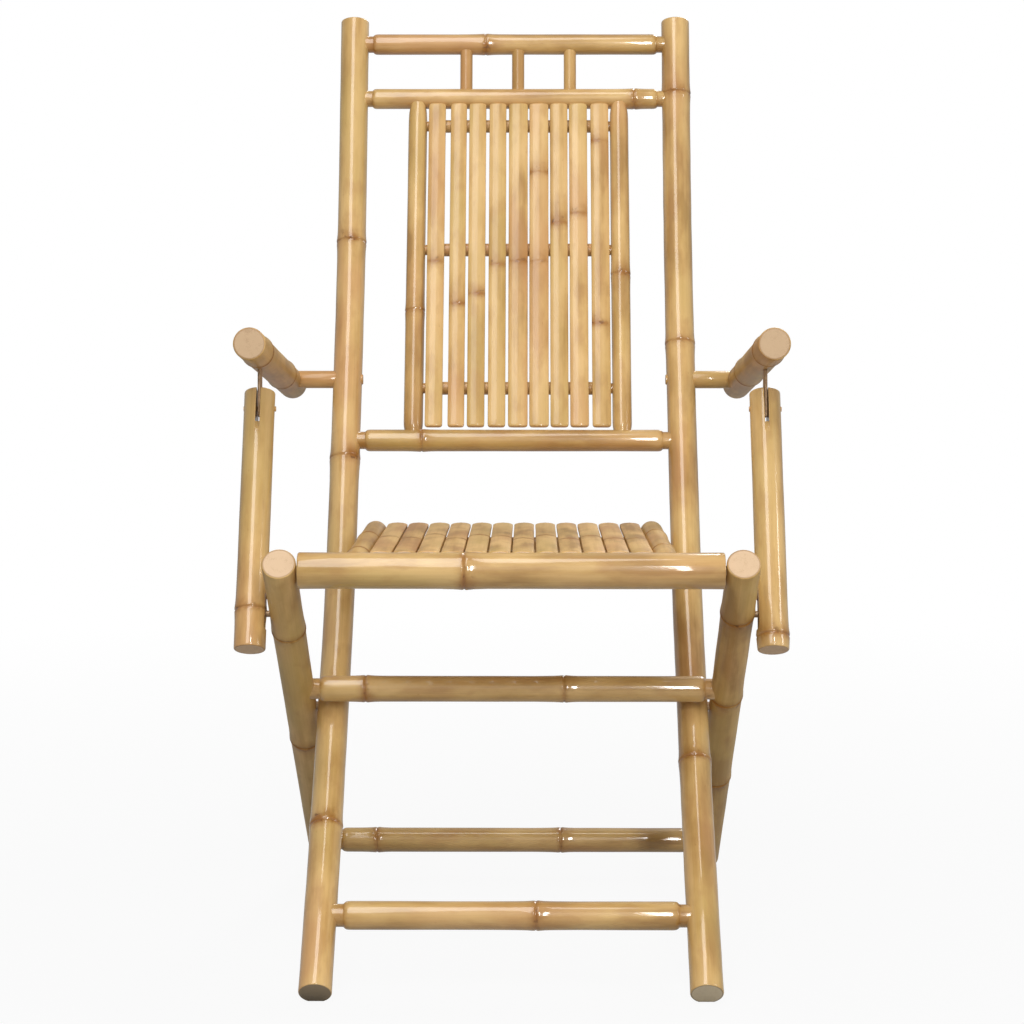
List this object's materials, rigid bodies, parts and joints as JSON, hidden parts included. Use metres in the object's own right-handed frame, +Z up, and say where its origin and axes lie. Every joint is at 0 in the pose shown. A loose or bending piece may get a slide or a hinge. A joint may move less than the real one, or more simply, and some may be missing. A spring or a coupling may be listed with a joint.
{
  "type": "bamboo folding armchair",
  "caption": "High-backed folding armchair of bamboo poles with a slatted seat and back, crossed legs, round armrests and slotted arm posts.",
  "frame": {"origin": "on the floor, under the middle of the whole chair's box", "axes": "+Z up, -Y towards the front of the chair, +X to the right as seen from the front"},
  "size_m": [0.5964, 0.7606, 1.0768],
  "materials": {
    "bamboo_pole": "varnished whole bamboo pole, node rings, pale end grain",
    "bamboo_strip": "varnished split bamboo strip",
    "bamboo_dowel": "varnished bamboo or wood dowel",
    "dull_metal": "dull plated steel strip and pins"
  },
  "bodies": {
    "back_frame": {"back_post_left": "bamboo_pole", "back_post_right": "bamboo_pole", "top_rail": "bamboo_pole", "upper_rail": "bamboo_pole", "lower_back_rail": "bamboo_pole", "front_foot_rail": "bamboo_pole", "rear_seat_rail": "bamboo_pole", "back_spindle_1": "bamboo_pole", "back_spindle_2": "bamboo_pole", "back_spindle_3": "bamboo_pole", "back_stile_left": "bamboo_pole", "back_stile_right": "bamboo_pole", "back_crossbar_1": "bamboo_dowel", "back_crossbar_2": "bamboo_dowel", "back_crossbar_3": "bamboo_dowel", "back_slat_1": "bamboo_strip", "back_slat_2": "bamboo_strip", "back_slat_3": "bamboo_strip", "back_slat_4": "bamboo_strip", "back_slat_5": "bamboo_strip", "back_slat_6": "bamboo_strip", "back_slat_7": "bamboo_strip", "back_slat_8": "bamboo_strip", "back_slat_9": "bamboo_strip", "arm_pivot_left": "bamboo_dowel", "arm_pivot_right": "bamboo_dowel"},
    "outer_frame": {"outer_leg_left": "bamboo_pole", "outer_leg_right": "bamboo_pole", "mid_rail": "bamboo_pole", "rear_foot_rail": "bamboo_pole", "frame_pivot_left": "dull_metal", "frame_pivot_right": "dull_metal", "seat_pivot_rod": "dull_metal", "arm_post_pivot_left": "dull_metal", "arm_post_pivot_right": "dull_metal"},
    "seat": {"seat_front_rail": "bamboo_pole", "seat_side_rail_left": "bamboo_pole", "seat_side_rail_right": "bamboo_pole", "seat_crossbar_1": "bamboo_dowel", "seat_crossbar_2": "bamboo_dowel", "seat_slat_1": "bamboo_strip", "seat_slat_2": "bamboo_strip", "seat_slat_3": "bamboo_strip", "seat_slat_4": "bamboo_strip", "seat_slat_5": "bamboo_strip", "seat_slat_6": "bamboo_strip", "seat_slat_7": "bamboo_strip", "seat_slat_8": "bamboo_strip", "seat_slat_9": "bamboo_strip", "seat_slat_10": "bamboo_strip", "seat_slat_11": "bamboo_strip", "seat_slat_12": "bamboo_strip"},
    "armrest_left": {"armrest_left": "bamboo_pole", "arm_tongue_left": "dull_metal"},
    "arm_post_left": {"arm_post_left": "bamboo_pole", "tongue_pin_left": "dull_metal"},
    "armrest_right": {"armrest_right": "bamboo_pole", "arm_tongue_right": "dull_metal"},
    "arm_post_right": {"arm_post_right": "bamboo_pole", "tongue_pin_right": "dull_metal"}
  },
  "joints": [
    {"name": "fold", "type": "hinge", "parent": "back_frame", "child": "outer_frame", "pos_m": [0, -0.08786, 0.26502], "axis": [-1, 0, 0], "range_deg": [0, 40]},
    {"name": "seat_lift", "type": "hinge", "parent": "outer_frame", "child": "seat", "pos_m": [0, -0.32583, 0.45137], "axis": [1, 0, 0], "range_deg": [0, 96]},
    {"name": "armrest_left_swing", "type": "hinge", "parent": "back_frame", "child": "armrest_left", "pos_m": [-0.2795, 0.1814, 0.62285], "axis": [-1, 0, 0], "range_deg": [0, 20.2]},
    {"name": "arm_post_left_swing", "type": "hinge", "parent": "armrest_left", "child": "arm_post_left", "pos_m": [-0.2795, -0.14622, 0.60844], "axis": [1, 0, 0], "range_deg": [0, 46.4]},
    {"name": "armrest_right_swing", "type": "hinge", "parent": "back_frame", "child": "armrest_right", "pos_m": [0.2795, 0.1814, 0.62285], "axis": [-1, 0, 0], "range_deg": [0, 20.2]},
    {"name": "arm_post_right_swing", "type": "hinge", "parent": "armrest_right", "child": "arm_post_right", "pos_m": [0.2795, -0.14622, 0.60844], "axis": [1, 0, 0], "range_deg": [0, 46.4]}
  ],
  "couplings": [
    {"joint": "seat_lift", "follows": "fold", "ratio": 2.4},
    {"joint": "armrest_left_swing", "follows": "fold", "ratio": 0.505},
    {"joint": "arm_post_left_swing", "follows": "fold", "ratio": 1.16},
    {"joint": "armrest_right_swing", "follows": "fold", "ratio": 0.505},
    {"joint": "arm_post_right_swing", "follows": "fold", "ratio": 1.16}
  ]
}
